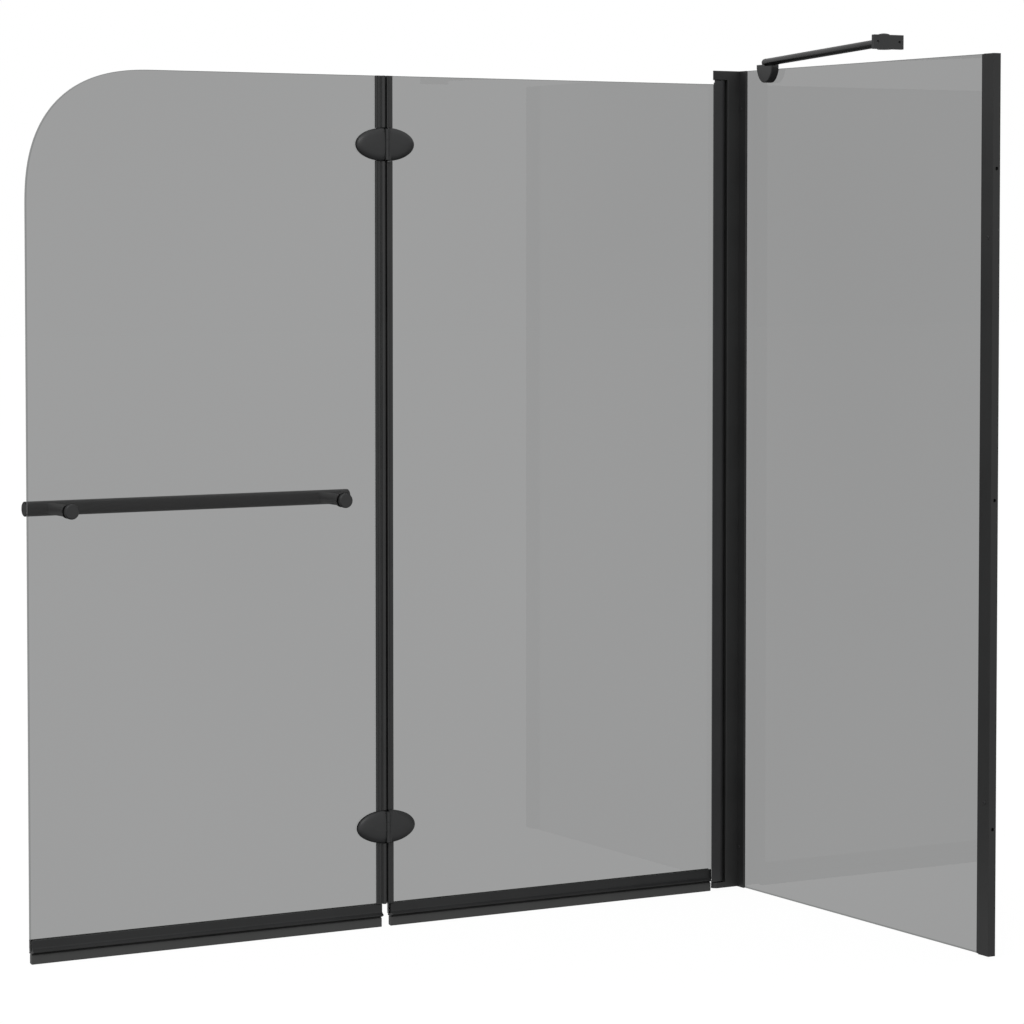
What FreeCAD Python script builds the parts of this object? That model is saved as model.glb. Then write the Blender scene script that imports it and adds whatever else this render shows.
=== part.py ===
import FreeCAD, Part
import math
import os

# L-shaped bath enclosure: a fixed side pane at a right angle to a two-pane
# bi-fold screen.  All sizes in millimetres, +Z up.
#
# Origin: the crossing of the two glass mid-planes, at the level of the bath
# rim.  The bi-fold screen runs towards -X, the side pane towards -Y and the
# wall; +Y is the room side, -Y / -X is the bath side.

V = FreeCAD.Vector

# ---------------------------------------------------------------- dimensions
POST_H = 1300.0            # height of the corner post and of the side pane
GLASS_T = 6.0              # toughened glass
GT = GLASS_T / 2.0
PANE_TOP = 1279.0          # top edge of both moving panes
PANE_BOTTOM = 14.5         # their bottom edge, hidden in the bottom rails
OUTER_X0 = -1215.0         # free edge of the outer pane
OUTER_X1 = -645.0
INNER_X0 = -633.4
INNER_X1 = -46.0
CORNER_R = 200.0           # free top corner of the outer pane
CORNER_N = 2.5             # superellipse exponent of that corner

PIVOT_X, PIVOT_Y = -39.5, 0.0      # axis of the inner pane's pivot
PROFILE_R = 11.0                   # rounded side of the pivot profile
PROFILE_X0 = -54.6                 # free edge of its bath-side flange
PROFILE_Z0, PROFILE_Z1 = 11.0, 1284.6
NOTCH_Z = 1281.2                   # the flange is cut back above this, over the pane
NOTCH_W = 1.5
SLANT = 0.6563                     # run per mm of depth of the flange's bevelled end
POCKET_X = -45.4                   # bottom of the rebate for the inner pane
PIN_R = 3.0
BUSH_R = 4.5

POST_X0, POST_X1 = -28.0, 6.0      # corner post
POST_Y0, POST_Y1 = -11.0, 11.0
CHAN_Y0 = -29.6                    # end of the channel's bath-side leg
ROOM_LEG_Y = -16.2                 # end of its shorter room-side leg
CHAN_HALF = 6.0
GROOVE_HALF = 3.9
GROOVE_Y = -3.0                    # bottom of the groove, inside the post
CAP_X0 = -55.95                    # front corner of the caps over the pivot
CAP_Z0, CAP_Z1 = 1286.0, 1300.0    # top cap
FOOT_Z1 = 9.0                      # bottom cap
FOOT_R = 12.2                      # its round end about the pivot

WALL_Y = -664.0                    # plane of the wall
WALL_MOUTH = -640.0
EDGE_MOUTH = -634.2
WALL_HOLE_Z = (184.4, 659.9, 1135.4)
WALL_HOLE_R = 2.6
LOCK_Z = (222.0, 1037.0)
LOCK_Y = -652.0
SIDE_GLASS_Y0, SIDE_GLASS_Y1 = -657.0, -3.7

FOLD_X, FOLD_Y = -639.2, -13.5     # axis between the two panes
HINGE_Z = (148.2, 1176.4)
HINGE_A, HINGE_B = 48.75, 25.1     # half axes of the oval hinge
BACK_A, BACK_B = 41.5, 20.5        # half axes of its plates on the room side
HINGE_FRONT = -13.25
PAD_T = 0.8
FRONT_PAD = 3.4                    # thick pad between the glass and a bath-side leaf
KNUCKLE_R = 3.0
HINGE_PIN_R = 1.5
HINGE_GAP = 3.3                    # half width of the barrel slot
HINGE_BOLT_X = 24.0
HINGE_BOLT_Z = 10.0

RAIL_TOP = 30.5
RAIL_HALF = 5.4
OUTER_RAIL = (-1213.8, -645.8)
INNER_RAIL = (-630.7, -51.6)
INNER_LIP_X1 = -52.4
LIP_Z0 = -4.6

BAR_R = 11.0                       # towel bar
BAR_Y, BAR_Z = 78.0, 644.0
BAR_X0, BAR_X1 = -1187.6, -660.0
BAR_POST_X = (-1149.0, -707.0)
BAR_POST_R = 8.5
BAR_CAP_R = 11.0

STAY_R = 6.0                       # stabiliser bar above the side pane
STAY_Z = 1310.6
STAY_A = (-9.0, -94.0)             # pivot on the glass clamp
STAY_B = (-190.8, -652.0)          # pivot on the wall bracket
CLAMP_Z0, CLAMP_Z1 = 1278.8, 1307.0
CLAMP_Y, CLAMP_HALF = -95.7, 21.7
CLAMP_BOLT_Y, CLAMP_BOLT_Z = -91.5, 1288.5
CLAMP_HEAD_R, CLAMP_HEAD_T = 4.2, 2.2
BRACKET_T, BRACKET_HOLE_R = 6.4, 2.1   # wall plate and its screw holes

os.makedirs("parts", exist_ok=True)


# ------------------------------------------------------------------- helpers
def box(x0, x1, y0, y1, z0, z1):
    return Part.makeBox(x1 - x0, y1 - y0, z1 - z0, V(x0, y0, z0))


def rod(p, d, r, length):
    return Part.makeCylinder(r, length, V(*p), V(*d))


def vrod(x, y, z0, z1, r):
    return Part.makeCylinder(r, z1 - z0, V(x, y, z0), V(0, 0, 1))


def yrod(x, z, y0, y1, r):
    return Part.makeCylinder(r, y1 - y0, V(x, y0, z), V(0, 1, 0))


def xrod(y, z, x0, x1, r):
    return Part.makeCylinder(r, x1 - x0, V(x0, y, z), V(1, 0, 0))


def prism_z(pts, z0, z1):
    wire = Part.makePolygon([V(x, y, z0) for x, y in pts] + [V(pts[0][0], pts[0][1], z0)])
    return Part.Face(wire).extrude(V(0, 0, z1 - z0))


def prism_x(pts, x0, x1):
    wire = Part.makePolygon([V(x0, y, z) for y, z in pts] + [V(x0, pts[0][0], pts[0][1])])
    return Part.Face(wire).extrude(V(x1 - x0, 0, 0))


def prism_y(pts, y0, y1):
    wire = Part.makePolygon([V(x, y0, z) for x, z in pts] + [V(pts[0][0], y0, pts[0][1])])
    return Part.Face(wire).extrude(V(0, y1 - y0, 0))


def fuse(*shapes):
    out = shapes[0]
    for s in shapes[1:]:
        out = out.fuse(s)
    return out.removeSplitter()


def soften(shape, size, pick):
    """Fillet the edges that pick() chooses; keep the plain shape if none take it."""
    edges = [e for e in shape.Edges if pick(e)]
    if not edges:
        return shape
    try:
        out = shape.makeFillet(size, edges)
        if out.isValid() and out.Volume > 0.5 * shape.Volume:
            return out
    except Exception:
        pass
    return shape


def vertical(e):
    a, b = e.Vertexes[0].Point, e.Vertexes[-1].Point
    return abs(a.x - b.x) < 1e-6 and abs(a.y - b.y) < 1e-6 and abs(a.z - b.z) > 1.0


def put(name, *shapes):
    solids = []
    for s in shapes:
        solids.extend(s.Solids)
    shape = solids[0] if len(solids) == 1 else Part.makeCompound(solids)
    for s in solids:
        if not s.isValid() or s.Volume <= 0:
            raise RuntimeError("bad solid in " + name)
    shape.exportStep("parts/" + name + ".step")
    print("%-34s %2d solid(s) %12.1f mm3" % (name, len(solids), sum(s.Volume for s in solids)))
    return shape


# ------------------------------------------------------------ the side glass
side_glass = box(-GT, GT, SIDE_GLASS_Y0, SIDE_GLASS_Y1, 0.0, POST_H)
side_glass = side_glass.cut(xrod(CLAMP_BOLT_Y, CLAMP_BOLT_Z, -10, 10, 5.0))
side_glass = soften(side_glass, 0.6, lambda e: e.Length > 500)
put("side_glass", side_glass)

# ----------------------------------------------------------- the corner post
L_SECTION = [(POST_X0, POST_Y0), (-CHAN_HALF, POST_Y0), (-CHAN_HALF, CHAN_Y0), (0.0, CHAN_Y0),
             (0.0, ROOM_LEG_Y), (CHAN_HALF, ROOM_LEG_Y), (CHAN_HALF, POST_Y1), (POST_X0, POST_Y1)]


def outward(v):
    """True at the outer corners; the inner corner between post and channel stays sharp."""
    inner = abs(v.X + CHAN_HALF) < 0.01 and abs(v.Y - POST_Y0) < 0.01
    return abs(v.X) > 1.0 and not inner


def groove(z0, z1):
    return box(-GROOVE_HALF, GROOVE_HALF, CHAN_Y0 - 1, GROOVE_Y, z0, z1)


PORTS = ((-12.0, 0.0), (1.2, 6.4))         # screw ports inside the extrusion
post = prism_z(L_SECTION, FOOT_Z1, CAP_Z0)
post = soften(post, 0.8, lambda e: vertical(e) and outward(e.Vertexes[0]))
post = post.cut(groove(0, POST_H))
hollow = box(POST_X0 + 1.8, POST_X1 - 1.8, POST_Y0 + 1.8, POST_Y1 - 1.8, 0, POST_H)
keep = fuse(box(-12.9, -11.1, -12, 12, 0, POST_H),
            box(-GROOVE_HALF - 1.6, POST_X1, -12, GROOVE_Y + 1.6, 0, POST_H),
            vrod(PORTS[0][0], PORTS[0][1], 0, POST_H, 3.7),
            vrod(PORTS[1][0], PORTS[1][1], 0, POST_H, 3.4),
            box(PORTS[1][0], 6, PORTS[1][1] - 1, 10, 0, POST_H),
            box(PORTS[1][0] - 1, 6, PORTS[1][1], 11, 0, POST_H))
post = post.cut(hollow.cut(keep))
for px, py in PORTS:
    post = post.cut(vrod(px, py, 0, POST_H, 1.9))
# two lock screws through the flank press on the gasket of the side pane
POST_LOCK_Z = (64.0, 1240.0)
POST_LOCK_Y = -15.6
post_locks = []
for z in POST_LOCK_Z:
    s = fuse(xrod(POST_LOCK_Y, z, -5.2, -CHAN_HALF + 2.1, 1.6),
             xrod(POST_LOCK_Y, z, -6.9, -5.2, 3.1))
    s = soften(s, 0.5, lambda e: abs(e.BoundBox.XMax + 6.9) < 0.01)
    s = s.cut(xrod(POST_LOCK_Y, z, -8, -5.9, 1.2))
    post = post.cut(xrod(POST_LOCK_Y, z, -7, 0, 1.6)).cut(xrod(POST_LOCK_Y, z, -8, -5.2, 3.1))
    post_locks.append(s)
put("corner_post", post)
put("post_lock_screws", *post_locks)

# rubber U that holds the side pane in the post
gasket = box(-GROOVE_HALF, GROOVE_HALF, CHAN_Y0 - 0.3, GROOVE_Y, 0.4, POST_H - 0.4)
gasket = gasket.cut(box(-GT, GT, CHAN_Y0 - 2, SIDE_GLASS_Y1, -1, POST_H + 1))
gasket = gasket.cut(box(0, 10, CHAN_Y0 - 2, ROOM_LEG_Y - 0.3, -1, POST_H + 1))
put("post_glass_gasket", gasket)

# --------------------------------------------------------- caps of the post
CAP_SECTION = [(CAP_X0, POST_Y0), (-CHAN_HALF, POST_Y0), (-CHAN_HALF, CHAN_Y0), (0.0, CHAN_Y0),
               (0.0, ROOM_LEG_Y), (CHAN_HALF, ROOM_LEG_Y), (CHAN_HALF, POST_Y1),
               (CAP_X0 + SLANT * (POST_Y1 - POST_Y0) + 0.4, POST_Y1)]


def cap_shape(z0, z1):
    c = prism_z(CAP_SECTION, z0, z1)
    c = soften(c, 0.8, lambda e: vertical(e) and outward(e.Vertexes[0]))
    c = c.cut(groove(z0 - 1, z1 + 1))
    return c


top_cap = cap_shape(CAP_Z0, CAP_Z1)
top_cap = soften(top_cap, 0.8, lambda e: abs(e.BoundBox.ZMin - CAP_Z1) < 0.01
                 and abs(e.BoundBox.ZMax - CAP_Z1) < 0.01 and e.BoundBox.YMax > -29
                 and not (abs(e.BoundBox.XMin) <= GROOVE_HALF + 0.1 and abs(e.BoundBox.XMax) <= GROOVE_HALF + 0.1))
bottom_cap = cap_shape(0.0, FOOT_Z1)
# the pivot end of the bottom cap is round about the pivot, clear of the turning wiper lip
bottom_cap = bottom_cap.cut(box(CAP_X0 - 1, PIVOT_X, -12, 12, -1, 20).cut(
    vrod(PIVOT_X, PIVOT_Y, -1, 20, FOOT_R)))
upper_pin = vrod(PIVOT_X, PIVOT_Y, 1262.0, 1297.0, PIN_R)
upper_pin = soften(upper_pin, 0.7, lambda e: abs(e.BoundBox.ZMin - 1262.0) < 0.01
                   and abs(e.BoundBox.ZMax - 1262.0) < 0.01)
lower_pin = vrod(PIVOT_X, PIVOT_Y, 2.0, 32.0, PIN_R)
lower_pin = soften(lower_pin, 0.7, lambda e: abs(e.BoundBox.ZMin - 32.0) < 0.01
                   and abs(e.BoundBox.ZMax - 32.0) < 0.01)
top_cap = top_cap.cut(vrod(PIVOT_X, PIVOT_Y, 1280.0, 1297.0, PIN_R))
bottom_cap = bottom_cap.cut(vrod(PIVOT_X, PIVOT_Y, 2.0, 32.0, PIN_R))
screws = []
for px, py in PORTS:
    up = fuse(vrod(px, py, 1268.0, CAP_Z1 - 1.6, 1.9),
              Part.makeCone(1.9, 3.9, 2.2, V(px, py, CAP_Z1 - 3.0), V(0, 0, 1)))
    up = up.cut(vrod(px, py, CAP_Z1 - 2.0, CAP_Z1 + 1, 1.3))
    top_cap = top_cap.cut(vrod(px, py, 1280, CAP_Z1 + 1, 1.9))
    top_cap = top_cap.cut(Part.makeCone(1.9, 3.9, 2.2, V(px, py, CAP_Z1 - 3.0), V(0, 0, 1)))
    top_cap = top_cap.cut(vrod(px, py, CAP_Z1 - 0.8, CAP_Z1 + 1, 3.9))
    dn = fuse(vrod(px, py, 1.6, 27.0, 1.9),
              Part.makeCone(3.9, 1.9, 2.2, V(px, py, 0.8), V(0, 0, 1)))
    dn = dn.cut(vrod(px, py, -1, 2.0, 1.3))
    bottom_cap = bottom_cap.cut(vrod(px, py, -1, 10, 1.9))
    bottom_cap = bottom_cap.cut(Part.makeCone(3.9, 1.9, 2.2, V(px, py, 0.8), V(0, 0, 1)))
    bottom_cap = bottom_cap.cut(vrod(px, py, -1, 0.8, 3.9))
    screws += [up, dn]
put("top_cap", top_cap)
put("bottom_cap", bottom_cap)
put("cap_screws", *screws)
put("upper_pivot_pin", upper_pin)
put("lower_pivot_pin", lower_pin)
wash_hi = vrod(PIVOT_X, PIVOT_Y, PROFILE_Z1 + 0.4, CAP_Z0, 5.2).cut(vrod(PIVOT_X, PIVOT_Y, 1270, 1290, PIN_R))
wash_lo = vrod(PIVOT_X, PIVOT_Y, FOOT_Z1, PROFILE_Z0 - 0.4, 6.0).cut(vrod(PIVOT_X, PIVOT_Y, 0, 20, PIN_R))
put("pivot_thrust_washers", wash_hi, wash_lo)

# ------------------------------------------------------ wall side of the pane
edge_profile = box(-4.9, 4.9, -661.5, EDGE_MOUTH, 0.5, POST_H - 0.5)
edge_profile = soften(edge_profile, 0.4, lambda e: vertical(e) and e.Vertexes[0].Y > -640)
edge_profile = edge_profile.cut(box(-3.7, 3.7, -659.7, EDGE_MOUTH + 1, 0, POST_H))
wall_channel = box(-6.3, 6.3, WALL_Y, WALL_MOUTH, 0.0, POST_H)
wall_channel = soften(wall_channel, 0.5, vertical)
wall_channel = wall_channel.cut(box(-4.9, 4.9, -661.5, WALL_MOUTH + 1, -1, POST_H + 1))
for z in WALL_HOLE_Z:
    wall_channel = wall_channel.cut(yrod(0, z, WALL_Y - 1, -660, WALL_HOLE_R))
    edge_profile = edge_profile.cut(yrod(0, z, -662, -658, 3.0))
locks = []
for z in LOCK_Z:
    s = fuse(xrod(LOCK_Y, z, -5.6, -3.7, 1.6), xrod(LOCK_Y, z, -7.0, -5.6, 3.0))
    s = soften(s, 0.5, lambda e: abs(e.BoundBox.XMax + 7.0) < 0.01)
    s = s.cut(xrod(LOCK_Y, z, -8, -6.2, 1.1))
    wall_channel = wall_channel.cut(xrod(LOCK_Y, z, -7, -3, 1.6)).cut(xrod(LOCK_Y, z, -8, -5.6, 3.0))
    edge_profile = edge_profile.cut(xrod(LOCK_Y, z, -7, -3, 1.6))
    locks.append(s)
put("wall_channel", wall_channel)
put("glass_edge_profile", edge_profile)
put("wall_channel_lock_screws", *locks)
wg = box(-3.7, 3.7, -659.7, EDGE_MOUTH + 0.7, 0.8, POST_H - 0.8)
wg = wg.cut(box(-GT, GT, SIDE_GLASS_Y0, -600, -1, POST_H + 1))
put("wall_glass_gasket", wg)

# ------------------------------------------------- stabiliser bar and its ends
dx, dy = STAY_B[0] - STAY_A[0], STAY_B[1] - STAY_A[1]
L = math.hypot(dx, dy)
ux, uy = dx / L, dy / L                       # from the clamp to the wall
OVERRUN = 13.0
TONGUE_BACK = 17.0                            # tube stops this far before the bracket pivot


def stay_pt(s, z=STAY_Z):
    return (STAY_A[0] + ux * s, STAY_A[1] + uy * s, z)


tube_len = L - TONGUE_BACK + OVERRUN - 1.6
tube = rod(stay_pt(-OVERRUN + 1.6), (ux, uy, 0), STAY_R, tube_len)
bore = rod(stay_pt(-OVERRUN), (ux, uy, 0), STAY_R - 1.3, tube_len + 10)
tube = tube.cut(bore)
screw_a = fuse(vrod(STAY_A[0], STAY_A[1], 1292.0, STAY_Z + STAY_R - 0.4, 2.2),
               Part.makeCone(2.2, 3.8, 1.6, V(STAY_A[0], STAY_A[1], STAY_Z + STAY_R - 2.0), V(0, 0, 1)))
screw_a = screw_a.cut(vrod(STAY_A[0], STAY_A[1], STAY_Z + STAY_R - 1.5, STAY_Z + 20, 1.3))
screw_tool = fuse(vrod(STAY_A[0], STAY_A[1], 1292.0, STAY_Z + 20, 2.2),
                  Part.makeCone(2.2, 3.8, 1.6, V(STAY_A[0], STAY_A[1], STAY_Z + STAY_R - 2.0), V(0, 0, 1)),
                  vrod(STAY_A[0], STAY_A[1], STAY_Z + STAY_R - 0.4, STAY_Z + 20, 3.8))
end_plug = fuse(rod(stay_pt(-OVERRUN + 1.6), (ux, uy, 0), STAY_R - 1.3, 22.0),
                rod(stay_pt(-OVERRUN), (ux, uy, 0), STAY_R, 1.6))
end_plug = soften(end_plug, 1.2, lambda e: abs((e.CenterOfMass - V(*stay_pt(-OVERRUN))).Length) < 0.4)
end_plug = end_plug.cut(screw_tool)
tube = tube.cut(screw_tool)
put("stabiliser_bar", tube)
put("stabiliser_bar_end_plug", end_plug)
put("stabiliser_clamp_screw", screw_a)

# shield-shaped glass clamp on the bath side of the side pane
cy, cz1, cz0 = CLAMP_Y, CLAMP_Z1, CLAMP_Z0
SHOULDER = 1302.5                             # the straight sides end here
e1 = Part.LineSegment(V(0, cy - CLAMP_HALF, cz1), V(0, cy - CLAMP_HALF, SHOULDER)).toShape()
cL = Part.BezierCurve()
cL.setPoles([V(0, cy - CLAMP_HALF, SHOULDER), V(0, cy - 19.8, 1289.0), V(0, cy - 10.0, cz0), V(0, cy - 2.5, cz0)])
e2 = cL.toShape()
e3 = Part.LineSegment(V(0, cy - 2.5, cz0), V(0, cy + 2.5, cz0)).toShape()
cR = Part.BezierCurve()
cR.setPoles([V(0, cy + 2.5, cz0), V(0, cy + 10.0, cz0), V(0, cy + 19.8, 1289.0), V(0, cy + CLAMP_HALF, SHOULDER)])
e4 = cR.toShape()
e5 = Part.LineSegment(V(0, cy + CLAMP_HALF, SHOULDER), V(0, cy + CLAMP_HALF, cz1)).toShape()
e6 = Part.LineSegment(V(0, cy + CLAMP_HALF, cz1), V(0, cy - CLAMP_HALF, cz1)).toShape()
shield = Part.Face(Part.Wire([e1, e2, e3, e4, e5, e6]))
clamp = shield.copy()
clamp.translate(V(-16.5, 0, 0))
clamp = clamp.extrude(V(16.5 - GT - PAD_T, 0, 0))
clamp = soften(clamp, 1.6, lambda e: abs(e.BoundBox.XMax + 16.5) < 0.01 and e.BoundBox.ZMax < cz1 - 0.5
               or (abs(e.BoundBox.XMin + 16.5) < 0.01 and abs(e.BoundBox.XMax + 16.5) < 0.01))
# saddle for the bar, open at the end nearer the wall
saddle = box(-OVERRUN - 0.3, 60.0, -STAY_R - 0.3, STAY_R + 0.3, STAY_Z - STAY_R, STAY_Z + 20)
saddle.rotate(V(0, 0, 0), V(0, 0, 1), math.degrees(math.atan2(uy, ux)))
saddle.translate(V(STAY_A[0], STAY_A[1], 0))
clamp = clamp.cut(saddle).cut(screw_tool)
by0, bz0 = CLAMP_BOLT_Y, CLAMP_BOLT_Z
clamp = clamp.cut(xrod(by0, bz0, -11.5, 5, 2.5))
clamp_pad_in = shield.copy()
clamp_pad_in.translate(V(-GT - PAD_T, 0, 0))
clamp_pad_in = clamp_pad_in.extrude(V(PAD_T, 0, 0))
clamp_pad_in = clamp_pad_in.common(box(-10, 0, cy - CLAMP_HALF + 1, cy + CLAMP_HALF - 1, cz0 + 0.8, POST_H - 0.6))
clamp_pad_in = clamp_pad_in.cut(xrod(by0, bz0, -10, 10, 2.5))
clamp_pad_out = xrod(by0, bz0, GT, GT + PAD_T, 4.6).cut(xrod(by0, bz0, -10, 10, 2.5))
clamp_bush = xrod(by0, bz0, -GT, GT, 5.0).cut(xrod(by0, bz0, -10, 10, 2.5))
head_x = GT + PAD_T + CLAMP_HEAD_T
clamp_bolt = fuse(xrod(by0, bz0, -7.5, GT + PAD_T, 2.5), xrod(by0, bz0, GT + PAD_T, head_x, CLAMP_HEAD_R))
clamp_bolt = soften(clamp_bolt, 0.7, lambda e: abs(e.BoundBox.XMin - head_x) < 0.01)
hexa = [(by0 + 1.7 * math.cos(math.radians(a)), bz0 + 1.7 * math.sin(math.radians(a))) for a in range(0, 360, 60)]
clamp_bolt = clamp_bolt.cut(prism_x(hexa, head_x - 1.5, head_x + 2))
put("stabiliser_clamp", clamp)
put("stabiliser_clamp_pads", clamp_pad_in, clamp_pad_out)
put("stabiliser_clamp_sleeve", clamp_bush)
put("stabiliser_clamp_bolt", clamp_bolt)

# wall bracket: plate, two lugs and a vertical pivot screw
bx, by = STAY_B
plate = box(bx - 25.5, bx + 25.5, WALL_Y, WALL_Y + BRACKET_T, 1300.4, 1320.5)
plate = soften(plate, 1.0, lambda e: abs(e.BoundBox.YMin - (WALL_Y + BRACKET_T)) < 0.01 or
               (e.BoundBox.YLength > 4 and e.BoundBox.XLength < 0.1))
LUG = 9.2
lug_hi = fuse(vrod(bx, by, 1316.9, 1320.5, LUG), box(bx - LUG, bx + LUG, WALL_Y + 4.0, by, 1316.9, 1320.5))
lug_lo = fuse(vrod(bx, by, 1300.4, 1304.3, LUG), box(bx - LUG, bx + LUG, WALL_Y + 4.0, by, 1300.4, 1304.3))
bracket = fuse(plate, lug_hi, lug_lo)
for s in (-18.5, 18.5):
    bracket = bracket.cut(yrod(bx + s, 1310.4, WALL_Y - 1, WALL_Y + 10, BRACKET_HOLE_R))
bracket = bracket.cut(vrod(bx, by, 1290, 1330, 2.5))
tongue = fuse(vrod(bx, by, 1304.7, 1316.5, 5.0),
              rod(stay_pt(L - TONGUE_BACK), (ux, uy, 0), 4.6, TONGUE_BACK),
              rod(stay_pt(L - TONGUE_BACK - 15.0), (ux, uy, 0), STAY_R - 1.3, 15.0))
collar = rod(stay_pt(L - TONGUE_BACK), (ux, uy, 0), 5.85, 8.2)
tongue = fuse(tongue, collar)
tongue = tongue.cut(vrod(bx, by, 1290, 1330, 2.5))
pivot_screw = fuse(vrod(bx, by, 1300.6, 1320.5, 2.5), vrod(bx, by, 1320.5, 1321.4, 8.0))
dome = Part.makeSphere(22.0, V(bx, by, 1323.1 - 22.0)).common(box(bx - 10, bx + 10, by - 10, by + 10, 1321.0, 1330))
dome = dome.common(vrod(bx, by, 1321.0, 1330.0, 8.0))
pivot_screw = fuse(pivot_screw, dome)
hexb = [(bx + 2.2 * math.cos(math.radians(a)), by + 2.2 * math.sin(math.radians(a))) for a in range(0, 360, 60)]
pivot_screw = pivot_screw.cut(prism_z(hexb, 1321.2, 1330))
put("stabiliser_wall_bracket", bracket)
put("stabiliser_bar_tongue", tongue)
put("stabiliser_pivot_screw", pivot_screw)

# ------------------------------------------------------------- pivot profile
# a long flange laps over the bath face of the pane, its end bevelled; the room side is cut back along the same slant
def beyond(x0, z0, z1):
    """Everything on the free side of the slanting end that starts at (x0, front face)."""
    return prism_z([(x0, -PROFILE_R), (x0 + SLANT * 2 * PROFILE_R + 0.4, PROFILE_R), (x0 + 20.0, PROFILE_R + 3),
                    (-90.0, PROFILE_R + 3), (-90.0, -PROFILE_R - 3), (x0 - 0.6, -PROFILE_R - 3)], z0, z1)


outer = fuse(box(PROFILE_X0 - 1, PIVOT_X, -PROFILE_R, PROFILE_R, PROFILE_Z0, PROFILE_Z1),
             vrod(PIVOT_X, PIVOT_Y, PROFILE_Z0, PROFILE_Z1, PROFILE_R))
outer = outer.cut(beyond(PROFILE_X0, 0, POST_H))
outer = soften(outer, 0.4, lambda e: vertical(e) and e.Vertexes[0].X < PROFILE_X0 + 0.1)
chamber = fuse(box(-49.0, PIVOT_X, -PROFILE_R + 1.8, -5.6, 0, POST_H),
               vrod(PIVOT_X, PIVOT_Y, 0, POST_H, PROFILE_R - 1.8).cut(box(-60, PIVOT_X, -5.6, 20, 0, POST_H)))
chamber = chamber.cut(vrod(PIVOT_X, PIVOT_Y, 0, POST_H, BUSH_R + 1.6))
profile = outer.cut(chamber)
profile = profile.cut(box(PROFILE_X0 - 5, POCKET_X, -GROOVE_HALF, GROOVE_HALF, 0, NOTCH_Z))
profile = profile.cut(beyond(PROFILE_X0 + NOTCH_W, NOTCH_Z, POST_H))
bushes = []
for z0, z1 in ((PROFILE_Z0, PROFILE_Z0 + 24.0), (PROFILE_Z1 - 24.0, PROFILE_Z1)):
    bushes.append(vrod(PIVOT_X, PIVOT_Y, z0, z1, BUSH_R).cut(vrod(PIVOT_X, PIVOT_Y, z0 - 1, z1 + 1, PIN_R + 0.05)))
profile = profile.cut(vrod(PIVOT_X, PIVOT_Y, 0, POST_H, BUSH_R))
put("pivot_profile", profile)
put("pivot_bushes", *bushes)
# the strip that beds the pane on the flange and wraps its edge
pg = prism_z([(-50.3, -GROOVE_HALF), (POCKET_X, -GROOVE_HALF), (POCKET_X, 2.3), (INNER_X1, 1.9), (INNER_X1, -GT),
              (-49.7, -GT)], RAIL_TOP + 0.4, PANE_TOP)
put("pivot_glass_gasket", pg)


# ------------------------------------------------------------ the two panes
def superellipse_corner(x0, z1, r, n, count=40):
    """Points from the left edge up and over to the top edge."""
    pts = []
    for i in range(count + 1):
        a = math.pi / 2 * i / count
        cx = math.cos(a) ** (2.0 / n)
        sz = math.sin(a) ** (2.0 / n)
        pts.append((x0 + r * (1 - cx), z1 - r * (1 - sz)))
    return pts


def hinge_holes(side):
    out = []
    for z in HINGE_Z:
        for dz in (-HINGE_BOLT_Z, HINGE_BOLT_Z):
            out.append((FOLD_X + side * HINGE_BOLT_X, z + dz))
    return out


arc = superellipse_corner(OUTER_X0, PANE_TOP, CORNER_R, CORNER_N)
spline = Part.BSplineCurve()
spline.interpolate([V(x, -GT, z) for x, z in arc], InitialTangent=V(0, 0, 1), FinalTangent=V(1, 0, 0))
a0, a1 = V(arc[0][0], -GT, arc[0][1]), V(arc[-1][0], -GT, arc[-1][1])
wire = Part.Wire([Part.LineSegment(V(OUTER_X0, -GT, PANE_BOTTOM), a0).toShape(), spline.toShape(),
                  Part.LineSegment(a1, V(OUTER_X1, -GT, PANE_TOP)).toShape(),
                  Part.LineSegment(V(OUTER_X1, -GT, PANE_TOP), V(OUTER_X1, -GT, PANE_BOTTOM)).toShape(),
                  Part.LineSegment(V(OUTER_X1, -GT, PANE_BOTTOM), V(OUTER_X0, -GT, PANE_BOTTOM)).toShape()])
outer_glass = Part.Face(wire).extrude(V(0, GLASS_T, 0))
for x, z in hinge_holes(-1):
    outer_glass = outer_glass.cut(yrod(x, z, -10, 10, 4.0))
for x in BAR_POST_X:
    outer_glass = outer_glass.cut(yrod(x, BAR_Z, -10, 10, 5.0))
put("outer_glass", outer_glass)
inner_glass = box(INNER_X0, INNER_X1, -GT, GT, PANE_BOTTOM, PANE_TOP)
for x, z in hinge_holes(1):
    inner_glass = inner_glass.cut(yrod(x, z, -10, 10, 4.0))
put("inner_glass", inner_glass)


# ------------------------------------------------ bottom rails and wiper lips
RAIL_PTS = [(-RAIL_HALF, RAIL_TOP - 0.8), (-RAIL_HALF + 0.8, RAIL_TOP), (RAIL_HALF - 0.8, RAIL_TOP),
            (RAIL_HALF, RAIL_TOP - 0.8), (RAIL_HALF, 18.0), (3.9, 17.0), (3.9, 13.6), (5.2, 12.6),
            (5.2, 11.0), (2.6, 10.4), (2.6, 12.4), (-2.6, 12.4), (-2.6, 10.4), (-5.0, 10.9),
            (-10.1, 13.4), (-10.1, 14.6), (-5.9, 17.6), (-RAIL_HALF, 19.6)]
LIP_PTS = [(-2.4, 12.2), (2.4, 12.2), (2.4, 10.2), (3.6, 9.4), (3.6, -2.6), (2.4, -3.8), (0.4, -4.2),
           (-3.6, LIP_Z0), (-4.9, LIP_Z0 + 0.8), (-4.9, 8.4), (-4.2, 9.4), (-2.4, 10.2)]


def rail(x0, x1):
    s = prism_x(RAIL_PTS, x0, x1)
    return s.cut(box(x0 - 1, x1 + 1, -GT, GT, PANE_BOTTOM, RAIL_TOP + 5))


put("outer_bottom_rail", rail(*OUTER_RAIL))
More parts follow.
